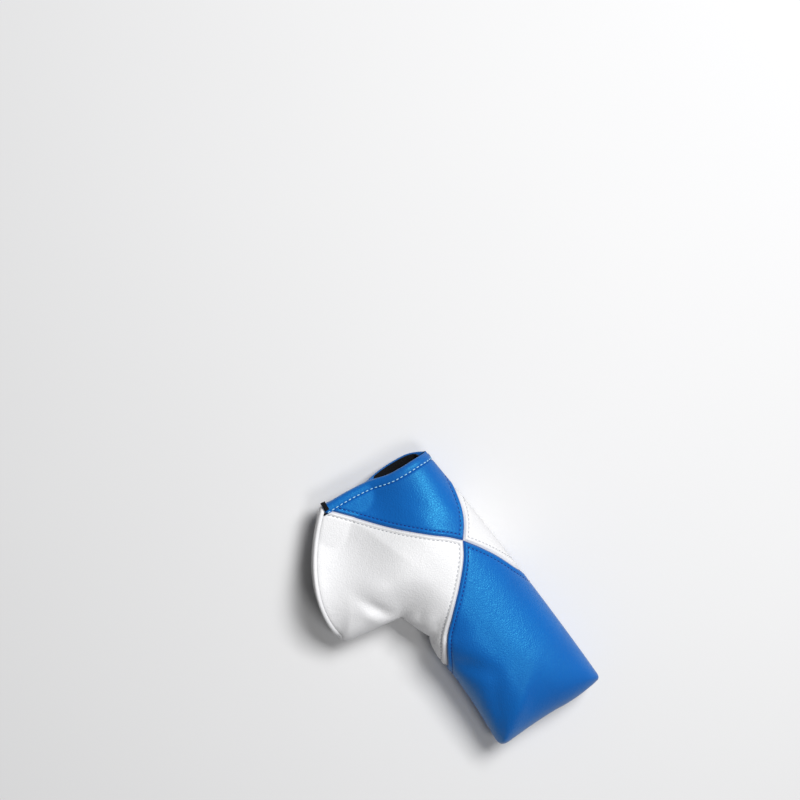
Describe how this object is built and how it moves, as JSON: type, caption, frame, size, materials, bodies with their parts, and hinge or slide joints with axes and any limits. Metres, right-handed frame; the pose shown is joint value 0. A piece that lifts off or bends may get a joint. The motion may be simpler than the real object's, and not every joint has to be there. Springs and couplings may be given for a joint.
{
  "type": "putter head cover",
  "caption": "Padded L-shaped leather cover for a blade putter's head: quartered panels, a hemmed heel mouth and a neck lip that opens on hook-and-loop tape.",
  "frame": {"origin": "middle of the footprint, on the surface that the cover lies on", "axes": "+X along the head pocket towards the heel mouth, +Y towards the neck's end, +Z out of the front face"},
  "size_m": [0.168, 0.0998, 0.04],
  "materials": {
    "blue_leather": "soft satin, fine pebbled grain",
    "white_leather": "soft satin, fine pebbled grain",
    "foam": "open-cell foam",
    "plush": "short matt pile",
    "tape": "woven tape with hooks or loops",
    "navy_thread": "twisted thread",
    "pale_thread": "twisted thread"
  },
  "bodies": {
    "pouch": {"front_toe_panel": "blue_leather", "front_sole_panel": "white_leather", "front_collar_panel": "blue_leather", "front_neck_panel": "white_leather", "back_toe_panel": "blue_leather", "back_sole_panel": "white_leather", "back_collar_panel": "blue_leather", "back_neck_panel": "white_leather", "front_foam": "foam", "back_foam": "foam", "front_lining": "plush", "back_lining": "plush", "front_mouth_hem": "blue_leather", "back_mouth_hem": "blue_leather", "front_neck_binding": "white_leather", "back_neck_binding": "white_leather", "loop_tape": "tape"},
    "front_flap": {"flap_collar_panel": "blue_leather", "flap_neck_panel": "white_leather", "flap_foam": "foam", "flap_lining": "plush", "flap_mouth_hem": "blue_leather", "flap_neck_binding": "white_leather", "hook_tape": "tape"}
  },
  "joints": [
    {"name": "flap_fold", "type": "hinge", "parent": "pouch", "child": "front_flap", "pos_m": [0.07455, -0.03408, 0.032], "axis": [0.5027, -0.8645, 0], "range_deg": [0, 50]}
  ]
}
